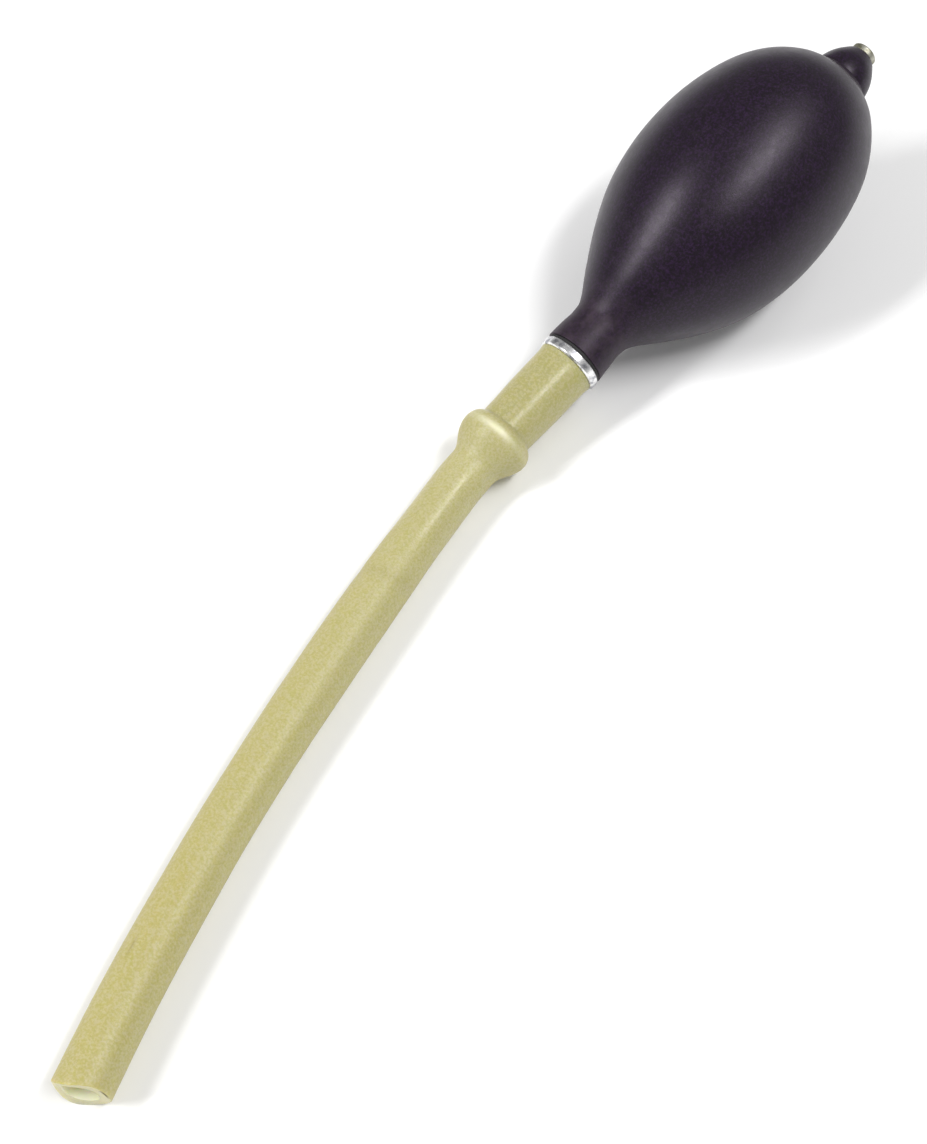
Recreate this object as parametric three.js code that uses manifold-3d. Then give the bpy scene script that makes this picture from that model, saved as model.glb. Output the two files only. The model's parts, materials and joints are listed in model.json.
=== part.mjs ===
// A hand-squeezed dust blower: a black rubber bulb, an aluminium outlet fitting with a
// ball check valve, and an amber latex hose pushed over the fitting's barb.
// Millimetres, +Z up. The origin is the middle of the small flat on which the bulb rests,
// the bulb's axis lies in the XZ plane with its rear end towards +X, and the hose lies on
// the same surface towards -X.
//
// Turned pieces are drawn as profiles of [radius, station]. A station is measured along the
// bulb's axis from the middle of the collar, positive towards the bulb's rear end.

import * as THREE from 'three';
import { mergeVertices } from 'three/addons/utils/BufferGeometryUtils.js';
import Module from 'manifold-3d';

const wasm = await Module();
wasm.setup();

// ---- driving dimensions -------------------------------------------------------------

const GAP = 0.3; // left between pieces that touch
const FACETS = 36; // round the bulb
const FITTING_FACETS = 32;
const BALL_FACETS = 16;
const OUTLINE_STEPS = 26; // straight pieces along a smooth outline
const CAVITY_STEPS = 14;
const SEARCH_STEPS = 400; // for finding where the bulb rests
const CUFF_STEPS = 18;
const HOSE_STEPS = 26;
const HOSE_ROUNDING = 6; // curve segments that an extrusion's circle is made with
const SPRING_STEPS = 54;
const SPRING_ROUNDING = 3;
const PLATE_ROUNDING = 14;
const HOLE_ROUNDING = 4;

const BULB_MAX_RADIUS = 27.45;
const BULB_WALL = 2.3;
const BELLY_STATION = 63.5; // where the bulb is widest
const FLAT_DEPTH = 0.5; // how far the soft belly is flattened where it rests
const PITCH = THREE.MathUtils.degToRad(11.84); // the rear end stands this much higher

const COLLAR_RADIUS = 8.4;
const COLLAR_HALF_WIDTH = 1.25;
const WASHER_THICKNESS = 0.5;
const NECK_RADIUS = 7.85; // at its waist
const NECK_FACE = COLLAR_HALF_WIDTH + WASHER_THICKNESS + 2 * GAP;

const HOSE_RADIUS = 6.5; // 13 mm latex tubing with an 8 mm bore
const HOSE_BORE = 4;
const STEM_RADIUS = 5.3;
const BARB_RADIUS = 7.4;
const BARB_STATION = -27.7;
const TAIL_TIP = -35;
const CUFF_RADIUS = 7.6;
const CUFF_CREST = 9.5;
const CUFF_END = -37;

const OUTLET_BALL_RADIUS = 2;
const OUTLET_BALL_STATION = 8.65;
const OUTLET_SEAT_STATION = 10.5;
const SPRING_WIRE = 0.2; // radius
const SPRING_RADIUS = 1.45;
const SPRING_TURNS = 4.5;
const SPRING_FOOT = 2.6;
const SPRING_TOP = 6.3;

const NIPPLE_BASE = 103.9;
const NIPPLE_TIP = NIPPLE_BASE + 8.9;
const INLET_RADIUS = 2.95;
const INLET_HEAD_RADIUS = 3.45; // the head that stands out of the nipple
const INLET_FACE = NIPPLE_TIP + 2;
const EDGE = 0.35; // chamfer on the collar and on the inlet's head
const INLET_BALL_RADIUS = 1.6;
const INLET_BALL_STATION = NIPPLE_BASE + 5;
const RETAINER_STATION = NIPPLE_BASE + 2;
const RETAINER_THICKNESS = 1.2;
const SCREEN_THICKNESS = 0.3;

// The free hose from the cuff to its cut end, on the surface that the blower rests on.
// It leaves the cuff in line with the bulb's axis and comes down flat within its own width.
const HOSE_ROUTE = [
  [-88.65, 0, 7.46],
  [-89.63, 0, 7.255],
  [-93, -0.7, 6.72],
  [-97, -1.65, 6.56],
  [-101.5, -2.6, 6.55],
  [-106.5, -3.6, 6.55],
  [-116, -5.5, 6.55],
  [-126, -7.75, 6.55],
  [-135.5, -9.95, 6.55],
  [-145, -12.2, 6.55],
  [-155, -14.7, 6.55],
  [-164.5, -17.1, 6.55],
  [-174.5, -19.8, 6.55],
  [-184, -22.5, 6.55],
  [-193.5, -25.3, 6.55],
  [-203, -28.3, 6.55],
  [-212.5, -31.5, 6.55],
  [-222, -34.7, 6.55],
  [-231.5, -38.05, 6.55],
  [-241, -41.6, 6.55],
  [-250, -45.2, 6.55],
  [-255.4, -47.4, 6.55],
];

// ---- materials ----------------------------------------------------------------------

function material(color, roughness, metalness) {
  return new THREE.MeshStandardMaterial({ color, roughness, metalness });
}

const BLACK_RUBBER = { color: 0x2c2629, roughness: 0.5, metalness: 0 };
const AMBER_LATEX = { color: 0xc8bd7c, roughness: 0.35, metalness: 0 };
const ALUMINIUM = { color: 0xd5d6d8, roughness: 0.3, metalness: 1 };
const NICKEL = { color: 0xe0dccb, roughness: 0.25, metalness: 1 };
const STEEL = { color: 0xb9bbbe, roughness: 0.2, metalness: 1 };
const BRASS_GAUZE = { color: 0xb99a58, roughness: 0.45, metalness: 1 };

function piece(name, geometry, look) {
  const mesh = new THREE.Mesh(geometry, material(look.color, look.roughness, look.metalness));
  mesh.name = name;
  return mesh;
}

// ---- helpers ------------------------------------------------------------------------

// Turns a [radius, station] profile about the axis. Every piece here is hollow, so the
// profile closes on itself: its outside towards the bulb's rear, then its bore back again.
function turned(profile, segments) {
  const closed = [...profile, profile[0]];
  return new THREE.LatheGeometry(closed.map(([r, u]) => new THREE.Vector2(r, u)), segments);
}

// Points of a smooth outline through a few chosen [radius, station] pairs.
function smooth(pairs, count) {
  const curve = new THREE.SplineCurve(pairs.map(([r, u]) => new THREE.Vector2(r, u)));
  return curve.getPoints(count).map((p) => [p.x, p.y]);
}

function circlePath(radius, x = 0, y = 0) {
  const path = new THREE.Path();
  path.absarc(x, y, radius, 0, Math.PI * 2, true);
  return path;
}

function discShape(radius) {
  const shape = new THREE.Shape();
  shape.absarc(0, 0, radius, 0, Math.PI * 2, false);
  return shape;
}

// A flat plate cut from a shape, lying across the axis with its lower face at a station.
function plate(shape, thickness, station, curveSegments) {
  const geometry = new THREE.ExtrudeGeometry(shape, {
    depth: thickness,
    bevelEnabled: false,
    curveSegments,
  });
  geometry.rotateX(-Math.PI / 2);
  return geometry.translate(0, station, 0);
}

function tubeAlong(path, radius, bore, steps, curveSegments) {
  const section = discShape(radius);
  if (bore > 0) {
    section.holes.push(circlePath(bore));
  }
  return new THREE.ExtrudeGeometry(section, {
    extrudePath: path,
    steps,
    curveSegments,
    bevelEnabled: false,
  });
}

function toSolid(geometry) {
  const bare = geometry.clone();
  bare.deleteAttribute('normal');
  bare.deleteAttribute('uv');
  const merged = mergeVertices(bare, 1e-4);
  return new wasm.Manifold(
    new wasm.Mesh({
      numProp: 3,
      vertProperties: new Float32Array(merged.attributes.position.array),
      triVerts: new Uint32Array(merged.index.array),
    }),
  );
}

function toGeometry(solid) {
  const { vertProperties, triVerts } = solid.getMesh();
  const geometry = new THREE.BufferGeometry();
  geometry.setAttribute('position', new THREE.BufferAttribute(vertProperties, 3));
  geometry.setIndex(new THREE.BufferAttribute(triVerts, 1));
  geometry.computeVertexNormals();
  return geometry;
}

// ---- the bulb -----------------------------------------------------------------------

// The rubber's outer outline from the neck's face to the foot of the rear nipple.
const BULB_POINTS = [
  [NECK_RADIUS + 0.5, NECK_FACE],
  [NECK_RADIUS + 0.25, 6.5],
  [NECK_RADIUS, 10.5],
  [8.85, 14.5],
  [14.3, 22.5],
  [19.8, 31.5],
  [24.3, 41.5],
  [26.8, 52.5],
  [BULB_MAX_RADIUS, BELLY_STATION],
  [26.5, 74.5],
  [23.8, 85.3],
  [19.7, 93.4],
  [14.4, 99.5],
  [9.2, 102.8],
  [8.0, NIPPLE_BASE],
];
const BULB_OUTLINE = smooth(BULB_POINTS, OUTLINE_STEPS);

const NIPPLE_OUTLINE = [
  [7.75, NIPPLE_BASE + 1.4],
  [7.05, NIPPLE_BASE + 3.7],
  [6.1, NIPPLE_BASE + 5.7],
  [4.8, NIPPLE_BASE + 7.5],
  [3.7, NIPPLE_TIP],
];

const CAVITY_OUTLINE = smooth(
  [
    [5.6, 100.9],
    [12.0, 98.4],
    [17.3, 92.4],
    [21.4, 84.5],
    [24.2, 74.5],
    [BULB_MAX_RADIUS - BULB_WALL, BELLY_STATION],
    [24.5, 52.5],
    [21.9, 41.5],
    [17.3, 31.5],
    [12.0, 23],
    [6.6, 18.5],
  ],
  CAVITY_STEPS,
);

// The nipple's bore has a groove for the inlet valve's bead, and the neck's bore has one
// for the spigot's barb.
const NIPPLE_BORE = [
  [INLET_RADIUS + GAP, NIPPLE_TIP],
  [INLET_RADIUS + GAP, NIPPLE_BASE + 5.4],
  [4.4, NIPPLE_BASE + 4.6],
  [4.4, NIPPLE_BASE + 2],
  [INLET_RADIUS + GAP, NIPPLE_BASE + 1.2],
  [INLET_RADIUS + GAP, NIPPLE_BASE - 2.4],
];

const NECK_BORE = [
  [5.4, 14.5],
  [5.9, 13.6],
  [5.9, 11],
  [5.1, 10],
  [5.1, NECK_FACE],
];

function bulbProfile() {
  return [...BULB_OUTLINE, ...NIPPLE_OUTLINE, ...NIPPLE_BORE, ...CAVITY_OUTLINE, ...NECK_BORE];
}

// How high each point of the outline's underside is, measured from the collar's middle.
function underside([radius, station]) {
  return station * Math.sin(PITCH) - radius * Math.cos(PITCH);
}

function lowestPoint(outline) {
  return outline.reduce((low, p) => (underside(p) < underside(low) ? p : low));
}

const [restRadius, restStation] = lowestPoint(smooth(BULB_POINTS, SEARCH_STEPS));
const COLLAR_X = -(restStation * Math.cos(PITCH) + restRadius * Math.sin(PITCH));
const COLLAR_Z = -(underside([restRadius, restStation]) + FLAT_DEPTH);

// The resting flat is cut by a block whose top is the surface that the blower rests on.
// The block is turned into the bulb's own axes first.
function bulb(placement) {
  const width = 60;
  const depth = 10;
  const block = new THREE.BoxGeometry(width, width, depth);
  block.translate(0, 0, -depth / 2);
  block.applyMatrix4(placement.clone().invert());
  const shell = toSolid(turned(bulbProfile(), FACETS));
  return piece('bulb', toGeometry(shell.subtract(toSolid(block))), BLACK_RUBBER);
}

// ---- the outlet: washer, fitting, ball, spring, barbed tail ---------------------------

function neckWasher() {
  const low = COLLAR_HALF_WIDTH + GAP;
  const high = low + WASHER_THICKNESS;
  const profile = [
    [NECK_RADIUS + 0.15, low],
    [NECK_RADIUS + 0.15, high],
    [5.2, high],
    [5.2, low],
  ];
  return piece('neck_washer', turned(profile, FITTING_FACETS), BLACK_RUBBER);
}

// The collar and the spigot that the bulb's neck grips are one turned piece. Its bore is a
// socket for the tail, then the ball's chamber, the conical seat and the air way.
function neckFitting() {
  const profile = [
    [3.4, -COLLAR_HALF_WIDTH],
    [COLLAR_RADIUS - EDGE, -COLLAR_HALF_WIDTH],
    [COLLAR_RADIUS, -COLLAR_HALF_WIDTH + EDGE],
    [COLLAR_RADIUS, COLLAR_HALF_WIDTH - EDGE],
    [COLLAR_RADIUS - EDGE, COLLAR_HALF_WIDTH],
    [4.8, COLLAR_HALF_WIDTH],
    [4.8, 10.3],
    [5.6, 11.3],
    [5.5, 12],
    [4.6, 14],
    [1.4, 14],
    [1.4, OUTLET_SEAT_STATION],
    [2.6, OUTLET_SEAT_STATION - 1.5],
    [2.6, 6],
    [3.4, 6],
  ];
  return piece('neck_fitting', turned(profile, FITTING_FACETS), ALUMINIUM);
}

// The tail's plug sits in the fitting's socket, and its barbed stem holds the hose.
function hoseTail() {
  const shoulder = -COLLAR_HALF_WIDTH - GAP;
  const profile = [
    [3.1, 5.6],
    [2.3, 5.6],
    [2.3, SPRING_FOOT - GAP],
    [1.2, SPRING_FOOT - GAP],
    [1.2, -1],
    [2.4, -3],
    [2.4, TAIL_TIP],
    [3.4, TAIL_TIP],
    [3.7, TAIL_TIP + 0.8],
    [BARB_RADIUS, BARB_STATION - 1],
    [BARB_RADIUS, BARB_STATION + 0.6],
    [STEM_RADIUS, BARB_STATION + 2.6],
    [STEM_RADIUS, shoulder],
    [3.1, shoulder],
  ];
  return piece('hose_tail', turned(profile, FITTING_FACETS), ALUMINIUM);
}

function valveBall(name, radius, station) {
  const geometry = new THREE.SphereGeometry(radius, BALL_FACETS, BALL_FACETS / 2);
  const ball = piece(name, geometry, STEEL);
  ball.position.y = station;
  return ball;
}

function outletBall() {
  return valveBall('outlet_ball', OUTLET_BALL_RADIUS, OUTLET_BALL_STATION);
}

class SpringPath extends THREE.Curve {
  getPoint(t, target = new THREE.Vector3()) {
    const turn = t * SPRING_TURNS * Math.PI * 2;
    const station = SPRING_FOOT + t * (SPRING_TOP - SPRING_FOOT);
    return target.set(SPRING_RADIUS * Math.cos(turn), station, SPRING_RADIUS * Math.sin(turn));
  }
}

function outletSpring() {
  const wire = tubeAlong(new SpringPath(), SPRING_WIRE, 0, SPRING_STEPS, SPRING_ROUNDING);
  return piece('outlet_spring', wire, STEEL);
}

// ---- the inlet: valve body, gauze, ball, retainer -------------------------------------

// The chamber opens inwards to the bulb, and the ball closes the air hole as the bulb is
// squeezed.
function inletValveBody() {
  const profile = [
    [1.9, INLET_FACE],
    [1.9, INLET_FACE - 1],
    [1.0, INLET_FACE - 1],
    [1.0, NIPPLE_BASE + 7.7],
    [2.15, NIPPLE_BASE + 6.5],
    [2.15, NIPPLE_BASE + 0.6],
    [INLET_RADIUS - 0.2, NIPPLE_BASE + 0.6],
    [INLET_RADIUS, NIPPLE_BASE + 1.3],
    [INLET_RADIUS, NIPPLE_BASE + 1.9],
    [4.0, NIPPLE_BASE + 2.6],
    [4.0, NIPPLE_BASE + 3.6],
    [INLET_RADIUS, NIPPLE_BASE + 4.6],
    [INLET_RADIUS, NIPPLE_TIP + GAP],
    [INLET_HEAD_RADIUS, NIPPLE_TIP + GAP],
    [INLET_HEAD_RADIUS, INLET_FACE - EDGE],
    [INLET_HEAD_RADIUS - EDGE, INLET_FACE],
  ];
  return piece('inlet_valve_body', turned(profile, FITTING_FACETS), NICKEL);
}

function inletScreen() {
  const hole = 0.22;
  const shape = discShape(1.6);
  shape.holes.push(circlePath(hole));
  for (const [count, radius] of [[6, 0.62], [10, 1.16]]) {
    for (let i = 0; i < count; i += 1) {
      const angle = (i / count) * Math.PI * 2;
      shape.holes.push(circlePath(hole, radius * Math.cos(angle), radius * Math.sin(angle)));
    }
  }
  const station = INLET_FACE - 1 + GAP;
  const disc = plate(shape, SCREEN_THICKNESS, station, HOLE_ROUNDING);
  return piece('inlet_screen', disc, BRASS_GAUZE);
}

function inletBall() {
  return valveBall('inlet_ball', INLET_BALL_RADIUS, INLET_BALL_STATION);
}

// A pressed disc whose cross-shaped hole lets the air past while it keeps the ball in.
function inletRetainer() {
  const arm = 1.45;
  const half = 0.3;
  const cross = new THREE.Path();
  const corners = [
    [half, half], [half, arm], [-half, arm], [-half, half], [-arm, half], [-arm, -half],
    [-half, -half], [-half, -arm], [half, -arm], [half, -half], [arm, -half], [arm, half],
  ];
  corners.forEach(([x, y], i) => (i ? cross.lineTo(x, y) : cross.moveTo(x, y)));
  cross.closePath();
  const shape = discShape(1.85);
  shape.holes.push(cross);
  const disc = plate(shape, RETAINER_THICKNESS, RETAINER_STATION, PLATE_ROUNDING);
  return piece('inlet_retainer', disc, STEEL);
}

// ---- the hose -------------------------------------------------------------------------

// The end of the hose that is stretched over the tail's stem and barb.
function hoseCuff() {
  const start = -COLLAR_HALF_WIDTH - GAP;
  const outside = smooth(
    [
      [HOSE_RADIUS, CUFF_END],
      [6.55, -35.4],
      [7.4, -33],
      [8.65, -30.6],
      [9.35, -28.8],
      [CUFF_CREST, BARB_STATION],
      [9.15, -26.3],
      [8.2, -25],
      [7.4, -24],
      [7.3, -22.5],
      [CUFF_RADIUS, -14],
    ],
    CUFF_STEPS,
  );
  const profile = [
    ...outside,
    [CUFF_RADIUS, start],
    [STEM_RADIUS + GAP, start],
    [STEM_RADIUS + GAP, BARB_STATION + 3],
    [BARB_RADIUS + GAP, BARB_STATION + 1],
    [BARB_RADIUS + GAP, BARB_STATION - 1.2],
    [HOSE_BORE + 0.15, TAIL_TIP + 0.4],
    [HOSE_BORE, CUFF_END],
  ];
  return piece('hose_cuff', turned(profile, FITTING_FACETS), AMBER_LATEX);
}

function hosePath() {
  return new THREE.CatmullRomCurve3(HOSE_ROUTE.map(([x, y, z]) => new THREE.Vector3(x, y, z)));
}

function hose() {
  const tube = tubeAlong(hosePath(), HOSE_RADIUS, HOSE_BORE, HOSE_STEPS, HOSE_ROUNDING);
  return piece('hose', tube, AMBER_LATEX);
}

// ---- assembly -------------------------------------------------------------------------

// The turned pieces' own axis is +Y. The inner group stands it up along +Z, and the outer
// one leans it over until it is PITCH above the table towards +X.
const upright = new THREE.Group();
upright.rotation.x = Math.PI / 2;

const leaning = new THREE.Group();
leaning.position.set(COLLAR_X, 0, COLLAR_Z);
leaning.rotation.y = Math.PI / 2 - PITCH;
leaning.add(upright);

const group = new THREE.Group();
group.add(leaning, hose());
group.updateMatrixWorld(true);

upright.add(
  bulb(upright.matrixWorld),
  neckWasher(),
  neckFitting(),
  outletBall(),
  outletSpring(),
  hoseTail(),
  hoseCuff(),
  inletValveBody(),
  inletScreen(),
  inletBall(),
  inletRetainer(),
);

export default group;
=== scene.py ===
import json
import math

import bmesh
import bpy
import numpy as np
from mathutils import Matrix, Vector


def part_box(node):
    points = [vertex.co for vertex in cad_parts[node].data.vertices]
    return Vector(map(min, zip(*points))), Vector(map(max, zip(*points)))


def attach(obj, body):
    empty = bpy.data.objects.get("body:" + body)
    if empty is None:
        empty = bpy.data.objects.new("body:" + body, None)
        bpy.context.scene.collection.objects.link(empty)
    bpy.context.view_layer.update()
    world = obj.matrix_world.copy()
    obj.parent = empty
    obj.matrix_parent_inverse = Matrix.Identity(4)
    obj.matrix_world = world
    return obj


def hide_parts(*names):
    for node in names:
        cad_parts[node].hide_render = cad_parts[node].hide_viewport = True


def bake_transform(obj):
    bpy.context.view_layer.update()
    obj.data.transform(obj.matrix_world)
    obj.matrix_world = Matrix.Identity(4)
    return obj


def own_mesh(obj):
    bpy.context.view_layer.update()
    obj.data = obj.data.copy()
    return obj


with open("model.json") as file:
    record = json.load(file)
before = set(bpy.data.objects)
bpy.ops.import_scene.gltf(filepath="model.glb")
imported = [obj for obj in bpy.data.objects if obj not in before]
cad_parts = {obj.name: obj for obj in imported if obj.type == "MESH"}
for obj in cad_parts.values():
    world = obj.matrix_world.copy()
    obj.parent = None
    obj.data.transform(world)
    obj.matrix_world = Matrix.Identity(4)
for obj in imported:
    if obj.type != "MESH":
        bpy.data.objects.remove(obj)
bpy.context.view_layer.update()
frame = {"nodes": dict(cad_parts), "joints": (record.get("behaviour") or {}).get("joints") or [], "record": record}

# A dust blower: a black rubber bulb, an aluminium outlet fitting and an amber latex hose.
# Turned pieces are profiles of (radius, station) in millimetres. A station is measured along
# the bulb's axis from the middle of the collar, positive towards the bulb's rear end.

MM = 0.001
JOINTS = {j["name"]: j for j in frame["joints"]}
NODES = frame["nodes"]


def middle(node):
    low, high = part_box(node)
    return (Vector(low) + Vector(high)) / 2


AXIS = -Vector(JOINTS["bulb_squeeze"]["axis"]).normalized()
SIDE = Vector((0, 1, 0))
UP = AXIS.cross(SIDE).normalized() * -1
if UP.z < 0:
    UP = -UP
OUTLET_BALL_STATION = 8.65
COLLAR = middle("outlet_ball") - AXIS * OUTLET_BALL_STATION * MM


def on_axis(station):
    return COLLAR + AXIS * station * MM


# ---- camera -----------------------------------------------------------------------------

CAMERA_AIM = Vector((-0.11247, -0.02112, 0.012))
CAMERA_DISTANCE = 0.5076
CAMERA_AZIMUTH = math.radians(46.5)
CAMERA_ELEVATION = math.radians(59.28)
CAMERA_FIELD = math.radians(29.68)


def make_camera():
    data = bpy.data.cameras.new("camera")
    data.sensor_fit = "VERTICAL"
    data.angle = CAMERA_FIELD
    data.clip_start = 0.01
    camera = bpy.data.objects.new("camera", data)
    bpy.context.scene.collection.objects.link(camera)
    flat = math.cos(CAMERA_ELEVATION)
    looking = Vector(
        (
            flat * math.sin(CAMERA_AZIMUTH),
            flat * math.cos(CAMERA_AZIMUTH),
            -math.sin(CAMERA_ELEVATION),
        )
    )
    camera.location = CAMERA_AIM - looking * CAMERA_DISTANCE
    camera.rotation_euler = looking.to_track_quat("-Z", "Y").to_euler()
    bpy.context.scene.camera = camera


make_camera()
bpy.context.scene.view_settings.view_transform = "Standard"


# ---- outlines ---------------------------------------------------------------------------


def catmull(points, count):
    """count + 1 points of a smooth curve through the given ones, in any dimension."""
    p = np.array(points, float)
    t = np.linspace(0, len(p) - 1, count + 1)
    i = np.minimum(t.astype(int), len(p) - 2)
    w = (t - i)[:, None]
    a = p[np.maximum(i - 1, 0)]
    b = p[i]
    c = p[i + 1]
    d = p[np.minimum(i + 2, len(p) - 1)]
    v0 = (c - a) / 2
    v1 = (d - b) / 2
    curve = (2 * b - 2 * c + v0 + v1) * w**3 + (3 * c - 3 * b - 2 * v0 - v1) * w**2
    return curve + v0 * w + b


def rounded(corners, fillet=0.15, steps=4, hold=0.06):
    """A closed outline with each corner rounded, and a point close to each end of the
    rounding, so that smooth shading keeps the flats flat."""
    p = np.array(corners, float)
    out = []
    for i in range(len(p)):
        before, corner, after = p[i - 1], p[i], p[(i + 1) % len(p)]
        back, on = before - corner, after - corner
        length_back, length_on = np.linalg.norm(back), np.linalg.norm(on)
        r = min(fillet, 0.4 * length_back, 0.4 * length_on)
        back, on = back / length_back, on / length_on
        start, end = corner + back * r, corner + on * r
        out.append(start + back * min(hold, 0.1 * length_back))
        for k in range(steps + 1):
            t = k / steps
            out.append((1 - t) ** 2 * start + 2 * t * (1 - t) * corner + t**2 * end)
        out.append(end + on * min(hold, 0.1 * length_on))
    return np.array(out)


# ---- meshes -----------------------------------------------------------------------------


def add_mesh(name, points, faces, lie):
    """A smooth mesh object. Two attributes give its materials their places: rest_mm is a
    point's place at rest, and lie is (cos, sin) of its angle round the axis, and station."""
    mesh = bpy.data.meshes.new(name)
    mesh.from_pydata([tuple(p) for p in points], [], faces)
    for attribute, values in (("rest_mm", np.array(points) / MM), ("lie", np.array(lie))):
        data = mesh.attributes.new(attribute, "FLOAT_VECTOR", "POINT")
        data.data.foreach_set("vector", values.astype(np.float32).ravel())
    mesh.polygons.foreach_set("use_smooth", [True] * len(mesh.polygons))
    obj = bpy.data.objects.new(name, mesh)
    bpy.context.scene.collection.objects.link(obj)
    bm = bmesh.new()
    bm.from_mesh(mesh)
    bmesh.ops.recalc_face_normals(bm, faces=bm.faces)
    bm.to_mesh(mesh)
    bm.free()
    return obj


def paint(obj, name, values):
    data = obj.data.attributes.new(name, "FLOAT", "POINT")
    data.data.foreach_set("value", np.asarray(values, np.float32))


def ring_faces(rings, columns, closed=True):
    faces = []
    for i in range(rings if closed else rings - 1):
        a, b = i * columns, ((i + 1) % rings) * columns
        for j in range(columns):
            k = (j + 1) % columns
            faces.append((a + j, a + k, b + k, b + j))
    return faces


def revolve(name, profile, columns):
    """A closed profile turned about the bulb's axis."""
    profile = np.array(profile, float)
    angles = np.arange(columns) * 2 * math.pi / columns
    cos, sin = np.cos(angles), np.sin(angles)
    across = np.outer(cos, UP) + np.outer(sin, SIDE)
    points, lie = [], []
    for radius, station in profile:
        points.append(np.array(on_axis(station)) + across * radius * MM)
        lie.append(np.stack([cos, sin, np.full(columns, station)], axis=1))
    faces = ring_faces(len(profile), columns)
    return add_mesh(name, np.concatenate(points), faces, np.concatenate(lie))


# ---- node helpers -----------------------------------------------------------------------


class Look:
    """A material's node tree, with short calls for the nodes used here."""

    def __init__(self, name):
        self.material = bpy.data.materials.new(name)
        self.material.use_nodes = True
        self.tree = self.material.node_tree
        self.shader = self.tree.nodes["Principled BSDF"]

    def node(self, kind, **settings):
        made = self.tree.nodes.new(kind)
        for key, value in settings.items():
            setattr(made, key, value)
        return made

    def link(self, out, socket):
        self.tree.links.new(out, socket)

    def put(self, socket, value):
        if isinstance(value, bpy.types.NodeSocket):
            self.link(value, socket)
        else:
            socket.default_value = value

    def attribute(self, name, output="Vector"):
        return self.node("ShaderNodeAttribute", attribute_name=name).outputs[output]

    def scaled(self, vector, scale):
        made = self.node("ShaderNodeMapping")
        self.link(vector, made.inputs["Vector"])
        made.inputs["Scale"].default_value = scale
        return made.outputs["Vector"]

    def noise(self, vector, scale, detail=4.0, roughness=0.55, distortion=0.0):
        made = self.node("ShaderNodeTexNoise")
        self.link(vector, made.inputs["Vector"])
        made.inputs["Scale"].default_value = scale
        made.inputs["Detail"].default_value = detail
        made.inputs["Roughness"].default_value = roughness
        made.inputs["Distortion"].default_value = distortion
        return made.outputs["Fac"]

    def spread(self, value, low, high, to_low=0.0, to_high=1.0):
        made = self.node("ShaderNodeMapRange")
        self.link(value, made.inputs["Value"])
        made.inputs["From Min"].default_value = low
        made.inputs["From Max"].default_value = high
        made.inputs["To Min"].default_value = to_low
        made.inputs["To Max"].default_value = to_high
        return made.outputs["Result"]

    def mix(self, factor, a, b):
        made = self.node("ShaderNodeMix", data_type="RGBA")
        self.put(made.inputs["Factor"], factor)
        self.put(made.inputs["A"], a)
        self.put(made.inputs["B"], b)
        return made.outputs["Result"]

    def math(self, operation, a, b):
        made = self.node("ShaderNodeMath", operation=operation)
        self.put(made.inputs[0], a)
        self.put(made.inputs[1], b)
        return made.outputs["Value"]

    def bump(self, height, distance, strength=1.0, below=None):
        made = self.node("ShaderNodeBump")
        self.link(height, made.inputs["Height"])
        made.inputs["Distance"].default_value = distance
        made.inputs["Strength"].default_value = strength
        if below is not None:
            self.link(below, made.inputs["Normal"])
        return made.outputs["Normal"]

    def set(self, **values):
        for key, value in values.items():
            self.put(self.shader.inputs[key.replace("_", " ")], value)


def color(r, g, b):
    return (r, g, b, 1.0)


def dress(obj, look):
    obj.data.materials.clear()
    obj.data.materials.append(look.material)


# ---- materials --------------------------------------------------------------------------


def bulb_rubber():
    look = Look("bulb_rubber")
    place = look.attribute("rest_mm")
    slow = look.noise(place, 0.055, 3.0, 0.5)
    patches = look.noise(place, 0.35, 5.0, 0.6, 0.4)
    speckle = look.noise(place, 1.5, 3.0, 0.75)
    tone = look.mix(
        look.spread(slow, 0.35, 0.65),
        color(0.0070, 0.0040, 0.0078),
        color(0.0072, 0.0045, 0.0070),
    )
    tone = look.mix(look.spread(speckle, 0.45, 0.65, 0.0, 0.9), tone, color(0.026, 0.011, 0.038))
    haze = look.math("MULTIPLY", look.spread(patches, 0.5, 0.75), 0.10)
    tone = look.mix(haze, tone, color(0.05, 0.04, 0.048))
    # A lighter band round the nipple's foot: rubber bloom, and a painted highlight on the fillet there.
    bloom_and_highlight = look.math("MULTIPLY", look.attribute("bloom_and_highlight", "Fac"), 0.5)
    tone = look.mix(bloom_and_highlight, tone, color(0.11, 0.09, 0.10))
    worn = look.attribute("worn", "Fac")
    rubbed = look.math("MULTIPLY", worn, look.spread(patches, 0.35, 0.65, 0.1, 0.5))
    tone = look.mix(rubbed, tone, color(0.055, 0.038, 0.050))
    grain = look.bump(look.noise(place, 2.2, 3.0, 0.6), 0.00003, 0.5)
    peel = look.bump(look.noise(place, 0.25, 3.0), 0.00012, 0.3, grain)
    gloss = look.spread(patches, 0.3, 0.7, 0.33, 0.41)
    look.set(
        Base_Color=tone,
        Roughness=look.math("ADD", gloss, look.math("MULTIPLY", worn, 0.12)),
        Normal=peel,
        Specular_IOR_Level=0.32,
    )
    look.shader.inputs["Specular Tint"].default_value = color(0.98, 0.90, 1.0)
    return look


def washer_rubber():
    look = Look("washer_rubber")
    place = look.attribute("rest_mm")
    fine = look.noise(place, 2.0)
    look.set(
        Base_Color=look.mix(fine, color(0.008, 0.008, 0.008), color(0.02, 0.019, 0.02)),
        Roughness=look.spread(fine, 0.3, 0.7, 0.55, 0.75),
        Normal=look.bump(fine, 0.00005, 0.4),
    )
    return look


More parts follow.
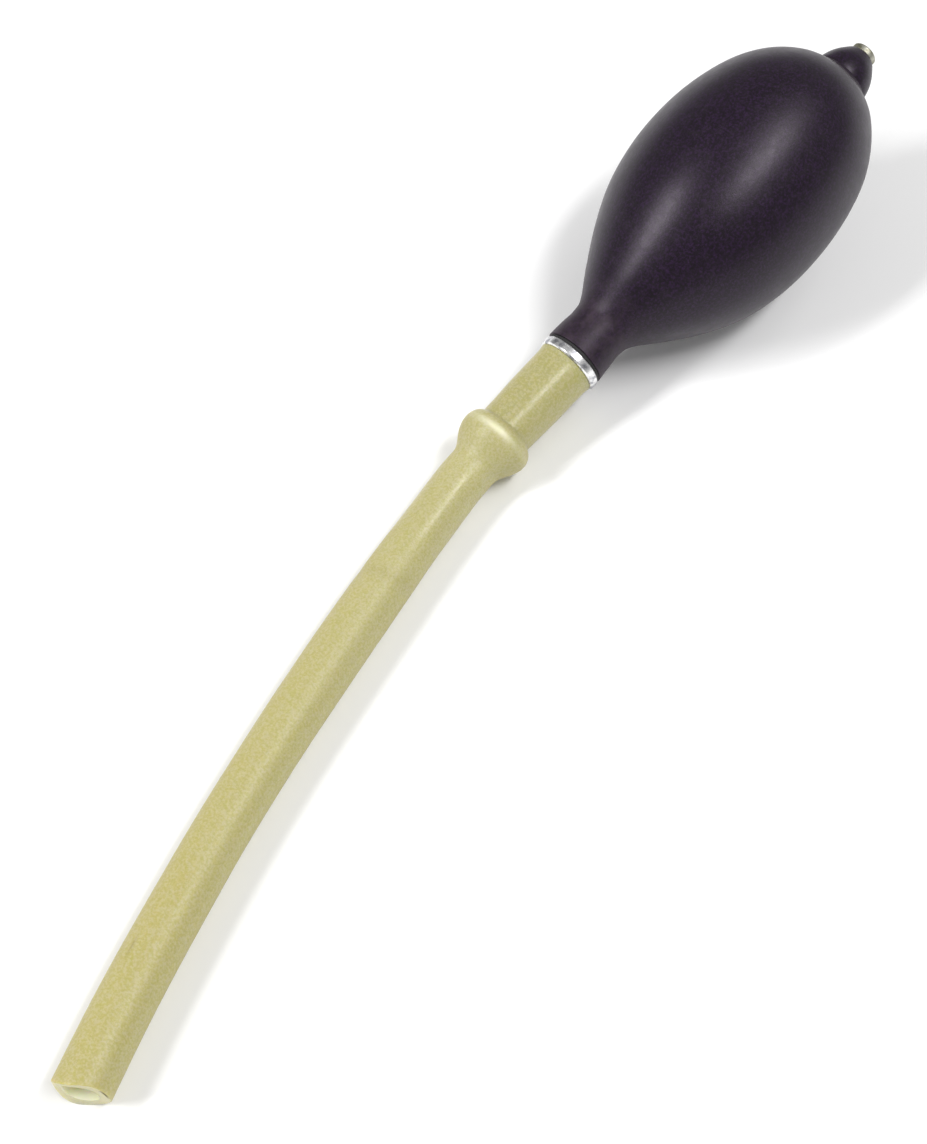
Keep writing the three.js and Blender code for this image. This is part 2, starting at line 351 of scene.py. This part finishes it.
def amber_latex():
    look = Look("amber_latex")
    place = look.attribute("rest_mm")
    lie = look.attribute("lie")
    slow = look.noise(place, 0.05, 2.0)
    mottle = look.noise(place, 0.6, 4.0, 0.6)
    grain = look.noise(place, 1.9, 2.0, 0.75)
    fleck = look.noise(look.scaled(place, (-1.7, 1.3, 1.5)), 1.0, 2.0, 0.7)
    streaks = look.noise(look.scaled(lie, (2.0, 2.0, 0.04)), 2.0, 3.0)
    near = color(0.515, 0.486, 0.257)
    farther = color(0.473, 0.415, 0.146)
    tone = look.mix(look.attribute("far", "Fac"), near, farther)
    tone = look.mix(look.spread(slow, 0.35, 0.65, 0.0, 0.3), tone, color(0.465, 0.440, 0.174))
    tone = look.mix(look.spread(streaks, 0.45, 0.75, 0.0, 0.12), tone, color(0.548, 0.523, 0.300))
    tone = look.mix(look.attribute("stem", "Fac"), tone, color(0.349, 0.332, 0.150))
    across = look.node("ShaderNodeSeparateXYZ")
    look.link(lie, across.inputs["Vector"])
    # Painted shade: the hose's left side, seen from above, darker and more orange.
    left_painted_shade = look.spread(across.outputs["Y"], 0.0, 1.0, 0.0, 0.4)
    tone = look.mix(left_painted_shade, tone, color(0.43, 0.355, 0.105))
    # Painted light: the hose's right side, seen from above, paler.
    right_painted_light = look.spread(across.outputs["Y"], -0.1, -0.9, 0.0, 0.4)
    tone = look.mix(right_painted_light, tone, color(0.57, 0.54, 0.24))
    tone = look.mix(look.spread(mottle, 0.35, 0.65, 0.0, 0.22), tone, color(0.498, 0.423, 0.213))
    tone = look.mix(look.spread(grain, 0.40, 0.60, 0.0, 0.62), tone, color(0.398, 0.373, 0.095))
    tone = look.mix(look.spread(fleck, 0.43, 0.60, 0.0, 0.5), tone, color(0.556, 0.506, 0.332))
    # Painted shade: the latex darker towards its outline as the camera sees it.
    edge_painted_shade = look.node("ShaderNodeLayerWeight").outputs["Facing"]
    tone = look.mix(look.spread(edge_painted_shade, 0.4, 0.95, 0.0, 0.4), tone, color(0.382, 0.324, 0.095))
    # Paler where the latex is stretched over the barb's crest, with a painted highlight there; the cut face
    # painted paler, and painted light in the bore.
    tone = look.mix(look.attribute("stretch_pale_and_painted_light", "Fac"), tone, color(0.88, 0.87, 0.66))
    # Painted shade in the fold and in the nick at the cut end, and a darker mark at a small dent on the side.
    tone = look.mix(look.attribute("painted_shade_and_dark_marks", "Fac"), tone, color(0.16, 0.11, 0.02))
    fine = look.bump(grain, 0.00003, 0.5)
    drawn = look.bump(streaks, 0.00005, 0.3, fine)
    gloss = look.spread(mottle, 0.3, 0.7, 0.27, 0.35)
    dulled = look.math("MULTIPLY", look.attribute("dull", "Fac"), 0.16)
    look.set(
        Base_Color=tone,
        Roughness=look.math("ADD", gloss, dulled),
        Normal=drawn,
        Subsurface_Weight=0.7,
        Subsurface_Scale=0.003,
        IOR=1.5,
    )
    look.shader.inputs["Subsurface Radius"].default_value = (1.0, 0.8, 0.3)
    return look


def turned_metal(name, light, dark, roughness, marks=14.0):
    look = Look(name)
    lie = look.attribute("lie")
    lines = look.noise(look.scaled(lie, (0.25, 0.25, marks)), 1.0, 3.0, 0.7)
    blotch = look.noise(look.attribute("rest_mm"), 0.5, 3.0)
    tone = look.mix(look.spread(blotch, 0.42, 0.62), light, dark)
    look.set(
        Base_Color=tone,
        Metallic=1.0,
        Roughness=look.spread(blotch, 0.3, 0.7, roughness - 0.05, roughness + 0.08),
        Normal=look.bump(lines, 0.00003, 0.6),
    )
    return look


def plain_metal(name, light, dark, roughness):
    look = Look(name)
    place = look.node("ShaderNodeTexCoord").outputs["Object"]
    blotch = look.noise(place, 600.0, 4.0)
    fine = look.noise(place, 9000.0, 2.0)
    look.set(
        Base_Color=look.mix(look.spread(blotch, 0.35, 0.7), light, dark),
        Metallic=1.0,
        Roughness=look.spread(fine, 0.3, 0.7, roughness - 0.04, roughness + 0.06),
        Normal=look.bump(fine, 0.00001, 0.3),
    )
    return look


LOOKS = {
    "bulb_rubber": bulb_rubber(),
    "washer_rubber": washer_rubber(),
    "amber_latex": amber_latex(),
    "turned_aluminium": turned_metal(
        "turned_aluminium", color(0.97, 0.97, 0.97), color(0.36, 0.36, 0.39), 0.30
    ),
    "nickel_plate": turned_metal(
        "nickel_plate", color(0.50, 0.49, 0.42), color(0.22, 0.21, 0.14), 0.46, 8.0
    ),
    "valve_steel": plain_metal(
        "valve_steel", color(0.72, 0.73, 0.75), color(0.62, 0.63, 0.65), 0.12
    ),
    "spring_steel": plain_metal(
        "spring_steel", color(0.56, 0.56, 0.58), color(0.44, 0.44, 0.46), 0.3
    ),
    "brass_gauze": plain_metal(
        "brass_gauze", color(0.70, 0.55, 0.27), color(0.52, 0.38, 0.17), 0.35
    ),
}


def finish_piece(obj, slot, body, *nodes):
    dress(obj, LOOKS[slot])
    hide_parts(*nodes)
    if body:
        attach(obj, body)
    return obj


# ---- the hose ---------------------------------------------------------------------------

# The free hose's route, in metres: the same points as the CAD hose follows.
HOSE_ROUTE = [
    (-0.08865, 0, 0.00746),
    (-0.08963, 0, 0.007255),
    (-0.093, -0.0007, 0.00672),
    (-0.097, -0.00165, 0.00656),
    (-0.1015, -0.0026, 0.00655),
    (-0.1065, -0.0036, 0.00655),
    (-0.116, -0.0055, 0.00655),
    (-0.126, -0.00775, 0.00655),
    (-0.1355, -0.00995, 0.00655),
    (-0.145, -0.0122, 0.00655),
    (-0.155, -0.0147, 0.00655),
    (-0.1645, -0.0171, 0.00655),
    (-0.1745, -0.0198, 0.00655),
    (-0.184, -0.0225, 0.00655),
    (-0.1935, -0.0253, 0.00655),
    (-0.203, -0.0283, 0.00655),
    (-0.2125, -0.0315, 0.00655),
    (-0.222, -0.0347, 0.00655),
    (-0.2315, -0.03805, 0.00655),
    (-0.241, -0.0416, 0.00655),
    (-0.25, -0.0452, 0.00655),
    (-0.2554, -0.0474, 0.00655),
]

HOSE_RADIUS = 6.5
HOSE_BORE = 4.0
HOSE_START = -1.3  # station of the end that butts against the collar
CUFF_END = -37.3
BORE_TAPER_END = -37.6  # the bore widens over the stem from here, over this length
BORE_TAPER = 8.0
STEM_WALL = 2.1  # the latex is stretched thinner over the stem
HOSE_COLUMNS = 96
# How much wider than its nominal size the free hose is, by distance from the cuff's end.
SWELLING = catmull(
    [(0, -0.03), (8, -0.027), (16, -0.026), (24, -0.017), (30, 0.0), (36, 0.017), (45, 0.03)]
    + [(60, 0.033), (75, 0.021), (90, 0.005), (110, 0.0), (135, 0.01), (160, 0.022), (180, 0.028)],
    120,
)
CUT_REACH = 7.0  # the cut's unevenness is eased in over this length
FACE_STEPS = (0.12, 0.3, 0.5, 0.8, 1.2, 1.6, 2.0, 2.4)  # rings on the cut face, in from its edge
NICK_FACE_STEP = 1  # the ring that the scissors' nick pushes in
NICK_RINGS = 3  # the first rings that the nick darkens
NICK_TURN = 2 * math.pi * 0.81  # where round the rim the nick is, and half its width
NICK_HALF_WIDTH = 0.38
FOLD_AT = 73.7  # an old fold across the hose, and a small dent along its side, from the collar
SIDE_DENT_AT = 179.6
LEAN = 0.75  # how far the hose leans aside just past the barb, and where that is
LEAN_AT = 35
TABLE_CLEARANCE = 0.02

# Outside radius of the stretched end by station: the stem, the barb's bulge, and its taper.
CUFF_OUTLINE = catmull(
    [
        (7.92, -1.3),
        (7.72, -2.2),
        (7.62, -4),
        (7.6, -9),
        (7.55, -14),
        (7.35, -19.5),
        (7.28, -22.4),
        (7.27, -23.3),
        (7.36, -23.85),
        (7.85, -24.2),
        (8.5, -24.7),
        (9.05, -25.5),
        (9.4, -26.5),
        (9.5, -27.6),
        (9.38, -28.9),
        (8.9, -30.3),
        (8.2, -31.7),
        (7.35, -33.1),
        (6.62, -34.5),
        (6.3, -35.9),
        (6.3, -38),
    ],
    200,
)


def hose_line():
    """Points down the middle of the hose, in metres, close together."""
    straight = [tuple(on_axis(u)) for u in np.linspace(HOSE_START, CUFF_END + 0.3, 80)]
    line = np.concatenate([np.array(straight), catmull(HOSE_ROUTE, 420)])
    s = along(line)
    line[:, 1] -= LEAN * MM * window(s / MM, LEAN_AT, 4.5)
    return eased(line, s)


def eased(line, s, spacing=0.5 * MM, spread=3.0 * MM):
    """The same line with its sharpest bends spread out, at even spacing."""
    stops = np.linspace(0, s[-1], round(s[-1] / spacing) + 1)
    even_line = np.stack([np.interp(stops, s, line[:, k]) for k in range(3)], axis=1)
    reach = round(3 * spread / spacing)
    weights = np.exp(-0.5 * (np.arange(-reach, reach + 1) * spacing / spread) ** 2)
    weights /= weights.sum()
    before = 2 * even_line[0] - even_line[reach:0:-1]
    after = 2 * even_line[-1] - even_line[-2 : -reach - 2 : -1]
    padded = np.concatenate([before, even_line, after])
    return np.stack([np.convolve(padded[:, k], weights, "valid") for k in range(3)], axis=1)


def along(line):
    steps = np.linalg.norm(np.diff(line, axis=0), axis=1)
    return np.concatenate([[0], np.cumsum(steps)])


def bump_between(x, a, b, ease):
    """1 between a and b, and 0 well outside, in a smooth step of width ease."""
    rise = np.clip((x - a) / ease + 0.5, 0, 1)
    fall = np.clip((b - x) / ease + 0.5, 0, 1)
    return rise * rise * (3 - 2 * rise) * fall * fall * (3 - 2 * fall)


def cut_back(cos, sin, share):
    """How far back a point of the hand-cut end lies from square, in mm: cos is +1 at the top,
    sin is +1 on the left seen from above, and share is 1 at the outside and 0 in the middle."""
    angle = np.arctan2(sin, cos)
    return (
        -1.3
        - 1.0 * share * sin
        - 0.45 * share**2 * np.cos(2 * angle)
        - 0.42 * share**3 * np.sin(3 * angle)
    )


def window(x, middle_of, half_width):
    return np.exp(-(((x - middle_of) / half_width) ** 2))


def hose_radii(s):
    """Outside and bore radius in mm at s mm from the collar."""
    station = HOSE_START - s
    order = np.argsort(CUFF_OUTLINE[:, 1])
    cuff = np.interp(station, CUFF_OUTLINE[order, 1], CUFF_OUTLINE[order, 0])
    free = s - (HOSE_START - CUFF_END)
    swell = np.interp(free, SWELLING[:, 0], SWELLING[:, 1])
    outside = np.where(free < 0, cuff, HOSE_RADIUS * (1 + swell))
    tapering = np.clip((station - BORE_TAPER_END) / BORE_TAPER, 0, 1)
    over_stem = outside - STEM_WALL
    bore = HOSE_BORE * (1 + swell) * (1 - tapering) + over_stem * tapering
    return outside, bore


def transported_frames(line):
    """Two directions across the line at each of its points, without twist."""
    tangents = np.gradient(line, axis=0)
    tangents /= np.linalg.norm(tangents, axis=1)[:, None]
    up = np.array(UP)
    ups = []
    for t in tangents:
        up = up - t * (up @ t)
        up /= np.linalg.norm(up)
        ups.append(up)
    ups = np.array(ups)
    return tangents, ups, np.cross(tangents, ups)


def hose_stops(length):
    """Where the rings lie, in mm from the collar: closest round the barb and at the cut."""
    coarse = np.arange(46, length - 8, 1.0)
    cuff = np.arange(0.6, 46, 0.35)
    fine = np.arange(length - 8, length - 0.4, 0.2)
    return np.concatenate([[0, 0.08, 0.25], cuff, coarse, fine, length - np.array([0.25, 0.1, 0])])


def make_hose():
    line = hose_line()
    s_all = along(line) / MM
    length = s_all[-1]
    stops = hose_stops(length)
    centres = np.stack([np.interp(stops, s_all, line[:, k]) for k in range(3)], axis=1)
    tangents, ups, sides = transported_frames(centres)
    outside, bore = hose_radii(stops)
    edge = np.minimum(stops, length - stops)
    lip = np.clip(1 - edge / 0.3, 0, 1) ** 2 * 0.12
    angles = np.arange(HOSE_COLUMNS) * 2 * math.pi / HOSE_COLUMNS
    cos, sin = np.cos(angles), np.sin(angles)
    ease = np.clip((stops - (length - CUT_REACH)) / CUT_REACH, 0, 1)
    rings, lies, marks = [], [], []

    def add_ring(i, radii, stretch_pale_and_painted_light, painted_shade_and_dark_marks=0.0, push=0.0):
        """Ring i of the hose at these radii (one, or one for each column)."""
        radii = np.broadcast_to(radii, cos.shape)
        across = (np.outer(cos, ups[i]) + np.outer(sin, sides[i])) * radii[:, None]
        back = ease[i] * cut_back(cos, sin, radii / outside[-1]) + push
        rings.append(centres[i] + (across - np.outer(back, tangents[i])) * MM)
        lies.append(np.stack([cos, sin, np.full(HOSE_COLUMNS, stops[i])], axis=1))
        spots = [np.broadcast_to(value, cos.shape) for value in (stretch_pale_and_painted_light, painted_shade_and_dark_marks, stops[i])]
        marks.append(np.stack(spots, axis=1))

    # Seen from above, sin is +1 on the left side and -1 on the right.
    fold_line = FOLD_AT + 0.2 * HOSE_RADIUS * sin
    upper = np.clip(cos + 0.25, 0, 1)
    turn = np.arctan2(sin, cos)
    for i, s in enumerate(stops):
        # The fold dents the upper side, and is painted darker there as painted shade.
        fold = window(s, fold_line, 1.9) * upper
        # A small dent along the hose's left side, painted darker.
        side_dent = window(s, SIDE_DENT_AT, 2.2) * window(turn, 0.445, 0.05)
        # The barb's crest painted paler: a little all round for the stretched latex, and more towards the top as a
        # painted highlight.
        crest = window(s, 25.8, 1.0) * (0.15 + 0.6 * window(turn, -0.15, 0.5))
        radii = outside[i] - lip[i] - 0.2 * fold - 0.12 * side_dent
        add_ring(i, radii, crest, 0.08 * fold + 0.35 * side_dent)
    nick = np.clip(window(angles, NICK_TURN, NICK_HALF_WIDTH) * 1.6 - 0.6, 0, 1)
    # The cut face's rings are painted paler.
    for k, step in enumerate(FACE_STEPS):
        deep = nick if k == NICK_FACE_STEP else 0 * nick
        # Painted shadow: the nick's first rings are painted dark, for the shadow in its slit.
        dark = nick if k < NICK_RINGS else 0.0
        add_ring(-1, outside[-1] - lip[-1] - step, 0.4, dark, 0.5 * deep)
    # The bore painted light past 40 mm, standing in for light coming through the wall.
    for i in range(len(stops) - 1, -1, -1):
        add_ring(i, bore[i] + lip[i] * 0.5, 1.0 if stops[i] > 40 else 0.0)

    points = np.concatenate(rings)
    points[:, 2] = np.maximum(points[:, 2], TABLE_CLEARANCE * MM)
    hose = add_mesh(
        "latex_hose", points, ring_faces(len(rings), HOSE_COLUMNS), np.concatenate(lies)
    )
    stretch_pale_and_painted_light, painted_shade_and_dark_marks, s = np.concatenate(marks).T
    on_stem = 0.85 * bump_between(s, -2, 22.9, 0.8)
    on_barb = 0.45 * bump_between(s, 23.2, 32, 5)
    paint(hose, "stem", np.maximum(on_stem, on_barb))
    paint(hose, "far", np.clip((s - 40) / 140, 0, 1))
    glossy = bump_between(s, 39, 61, 6)
    paint(hose, "dull", np.where(s < 25.8, 0.1, 1.0) * (1 - glossy))
    paint(hose, "stretch_pale_and_painted_light", stretch_pale_and_painted_light)
    paint(hose, "painted_shade_and_dark_marks", painted_shade_and_dark_marks)
    finish_piece(hose, "amber_latex", "blower", "hose", "hose_cuff")
    return hose


make_hose()


# ---- the bulb ---------------------------------------------------------------------------

BULB_OUTLINE = [
    (8.38, 2.05),
    (8.1, 6.5),
    (7.85, 10.5),
    (8.85, 14.5),
    (14.3, 22.5),
    (19.8, 31.5),
    (24.3, 41.5),
    (26.8, 52.5),
    (27.45, 63.5),
    (26.5, 74.5),
    (23.8, 85.3),
    (19.7, 93.4),
    (14.4, 99.5),
    (9.2, 102.8),
    (8.0, 103.9),
]
NIPPLE_OUTLINE = [
    (7.85, 104.0),
    (7.75, 105.3),
    (7.1, 107.6),
    (6.15, 109.6),
    (4.95, 111.4),
    (4.1, 112.5),
    (3.7, 112.8),
    (3.3, 112.75),
]
BULB_BORE = [
    (3.25, 112.3),
    (3.25, 109.3),
    (4.4, 108.5),
    (4.4, 105.9),
    (3.25, 105.1),
    (3.25, 101.5),
]
CAVITY_OUTLINE = [
    (5.6, 100.9),
    (12.0, 98.4),
    (17.3, 92.4),
    (21.4, 84.5),
    (24.2, 74.5),
    (25.15, 63.5),
    (24.5, 52.5),
    (21.9, 41.5),
    (17.3, 31.5),
    (12.0, 23),
    (6.6, 18.5),
]
NECK_BORE = [(5.4, 14.5), (5.9, 13.6), (5.9, 11), (5.1, 10), (5.1, 2.45), (5.3, 2.05)]
BULB_COLUMNS = 176
NIPPLE_FOOT = 103.9


def make_bulb():
    profile = np.concatenate(
        [
            [(8.1, 2.05)],
            catmull(BULB_OUTLINE, 190),
            catmull(NIPPLE_OUTLINE, 40),
            BULB_BORE,
            catmull(CAVITY_OUTLINE, 60),
            NECK_BORE,
        ]
    )
    bulb = revolve("rubber_bulb", profile, BULB_COLUMNS)
    let_stray(bulb)
    flatten_belly(bulb)
    station = np.repeat(profile[:, 1], BULB_COLUMNS)
    # Painted lighter round the nipple's foot: bloom, and a painted highlight on the fillet.
    foot = window(station, NIPPLE_FOOT - 2.2, 1.5)
    paint(bulb, "bloom_and_highlight", foot)
    paint(bulb, "worn", np.clip((20 - station) / 8, 0, 1))
    finish_piece(bulb, "bulb_rubber", None, "bulb")
    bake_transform(bulb)
    return bulb


# Hand-made rubber isn't quite true: how far the bulb's middle line strays sideways, by station.
STRAY = catmull(
    [(2, 0.1), (6, 0.3), (12, 0.35), (18, 0.2), (26, -0.2), (34, -0.35), (44, -0.25), (56, 0.05)]
    + [(70, 0.35), (84, 0.5), (95, 0.6), (101, 0.25), (106, -0.05), (114, 0.0)],
    100,
)


def let_stray(obj):
    for vertex, lie in zip(obj.data.vertices, obj.data.attributes["lie"].data):
        station = lie.vector[2]
        vertex.co.y += np.interp(station, STRAY[:, 0], STRAY[:, 1]) * MM


BELLY_SOFTNESS = 0.15


def flatten_belly(obj):
    """Soft rubber spreads where it rests: nothing reaches below the table."""
    co = np.zeros(len(obj.data.vertices) * 3, np.float32)
    obj.data.vertices.foreach_get("co", co)
    co = co.reshape(-1, 3)
    soft = BELLY_SOFTNESS * MM
    low = co[:, 2] < soft
    co[low, 2] = soft * np.exp((co[low, 2] - soft) / soft)
    obj.data.vertices.foreach_set("co", co.ravel())


make_bulb()


# ---- turned metal and the washer --------------------------------------------------------


def make_collar():
    corners = [
        (3.4, -1.25),
        (8.05, -1.25),
        (8.4, -0.9),
        (8.4, 0.9),
        (8.05, 1.25),
        (4.8, 1.25),
        (4.8, 10.3),
        (5.6, 11.3),
        (5.5, 12),
        (4.6, 14),
        (1.4, 14),
        (1.4, 10.5),
        (2.6, 9),
        (2.6, 6),
        (3.4, 6),
    ]
    collar = revolve("collar_fitting", rounded(corners, 0.12), 144)
    finish_piece(collar, "turned_aluminium", "blower", "neck_fitting")


def make_tail():
    corners = [
        (3.1, 5.6),
        (2.3, 5.6),
        (2.3, 2.3),
        (1.2, 2.3),
        (1.2, -1),
        (2.4, -3),
        (2.4, -35),
        (3.4, -35),
        (3.7, -34.2),
        (7.4, -28.7),
        (7.4, -27.1),
        (5.3, -25.1),
        (5.3, -1.55),
        (3.1, -1.55),
    ]
    tail = revolve("barbed_tail", rounded(corners, 0.15), 96)
    finish_piece(tail, "turned_aluminium", "blower", "hose_tail")


def make_washer():
    corners = [(8.05, 1.3), (8.05, 2.0), (5.2, 2.0), (5.2, 1.3)]
    washer = revolve("collar_washer", rounded(corners, 0.12), 128)
    finish_piece(washer, "washer_rubber", "blower", "neck_washer")


def make_inlet():
    corners = [
        (1.9, 114.8),
        (1.9, 113.8),
        (1.0, 113.8),
        (1.0, 111.6),
        (2.15, 110.4),
        (2.15, 104.5),
        (2.75, 104.5),
        (2.95, 105.2),
        (2.95, 105.8),
        (4.0, 106.5),
        (4.0, 107.5),
        (2.95, 108.5),
        (2.95, 113.0),
        (3.45, 113.0),
        (3.45, 114.45),
        (3.1, 114.8),
    ]
    inlet = revolve("inlet_stub", rounded(corners, 0.15), 112)
    finish_piece(inlet, "nickel_plate", "rear_valve", "inlet_valve_body")


SPRING_WIRE = 0.2
SPRING_COLUMNS = 14
SPRING_RADIUS = 1.45
SPRING_TURNS = 4.5
SPRING_FOOT = 2.6
SPRING_TOP = 6.3
SPRING_FLAT = 0.12  # the share of its wire in each flat end coil


def make_spring():
    """The outlet's spring, with a flat coil at each end."""
    share = np.linspace(0, 1, 240)
    turn = share * SPRING_TURNS * 2 * math.pi
    climb = np.clip((share - SPRING_FLAT) / (1 - 2 * SPRING_FLAT), 0, 1)
    stations = SPRING_FOOT + climb * (SPRING_TOP - SPRING_FOOT)
    outwards = np.outer(np.cos(turn), UP) + np.outer(np.sin(turn), SIDE)
    middles = np.array([on_axis(u) for u in stations]) + outwards * SPRING_RADIUS * MM
    tangents = np.gradient(middles, axis=0)
    tangents /= np.linalg.norm(tangents, axis=1)[:, None]
    beside = np.cross(tangents, outwards)
    angles = np.arange(SPRING_COLUMNS) * 2 * math.pi / SPRING_COLUMNS
    points, lie = [], []
    for centre, out, by, station in zip(middles, outwards, beside, stations):
        ring = np.outer(np.cos(angles), out) + np.outer(np.sin(angles), by)
        points.append(centre + ring * SPRING_WIRE * MM)
        lie.append(np.stack([np.cos(angles), np.sin(angles), np.full(len(ring), station)], axis=1))
    faces = ring_faces(len(points), SPRING_COLUMNS, closed=False)
    last = (len(points) - 1) * SPRING_COLUMNS
    faces.append(tuple(range(SPRING_COLUMNS)))
    faces.append(tuple(range(last, last + SPRING_COLUMNS)))
    spring = add_mesh("outlet_coil", np.concatenate(points), faces, np.concatenate(lie))
    finish_piece(spring, "spring_steel", "blower", "outlet_spring")
    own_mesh(spring)


make_collar()
make_tail()
make_washer()
make_inlet()
make_spring()

for node in ("outlet_ball", "inlet_ball", "inlet_screen", "inlet_retainer"):
    slots = {s["node"]: s["material_slot"] for s in frame["record"]["subparts"]}
    dress(NODES[node], LOOKS[slots[node]])


# ---- floor and light --------------------------------------------------------------------


def make_floor():
    bpy.ops.mesh.primitive_plane_add(size=6, location=(0, 0, 0))
    floor = bpy.context.object
    floor.name = "floor"
    look = Look("floor")
    look.set(
        Base_Color=color(0.9, 0.9, 0.9),
        Roughness=0.7,
        Emission_Color=color(1, 1, 1),
        Emission_Strength=0.06,
    )
    dress(floor, look)


def make_strip(name, direction, along_hint, size, brightness):
    """A soft light, its long side along the hint. Its size is in radians, seen from the bulb."""
    data = bpy.data.lights.new(name, "AREA")
    data.shape = "RECTANGLE"
    data.size, data.size_y = (s * LIGHT_DISTANCE for s in size)
    data.energy = brightness * math.pi * data.size * data.size_y
    out = Vector(direction).normalized()
    long = Vector(along_hint)
    long = (long - out * long.dot(out)).normalized()
    turn = Matrix((long, out.cross(long), out)).transposed()
    light = bpy.data.objects.new(name, data)
    light.matrix_world = Matrix.Translation(LIT_POINT + out * LIGHT_DISTANCE) @ turn.to_4x4()
    bpy.context.scene.collection.objects.link(light)


def make_world():
    world = bpy.data.worlds.new("studio")
    world.use_nodes = True
    world.node_tree.nodes["Background"].inputs["Color"].default_value = (1, 1, 1, 1)
    world.node_tree.nodes["Background"].inputs["Strength"].default_value = 0.29
    bpy.context.scene.world = world


LIT_POINT = Vector((-0.01, 0, 0.04))
LIGHT_DISTANCE = 2.5

make_floor()
make_world()
make_strip("rear_strip", (0.22, -0.38, 0.90), (0.95, 0.25, -0.12), (0.66, 0.15), 17.5)
make_strip("front_strip", (-0.58, 0.38, 0.72), AXIS, (0.62, 0.15), 23.0)
make_strip("top_panel", (0.43, -0.10, 0.87), (1, 0.1, -0.3), (0.45, 0.28), 2.0)
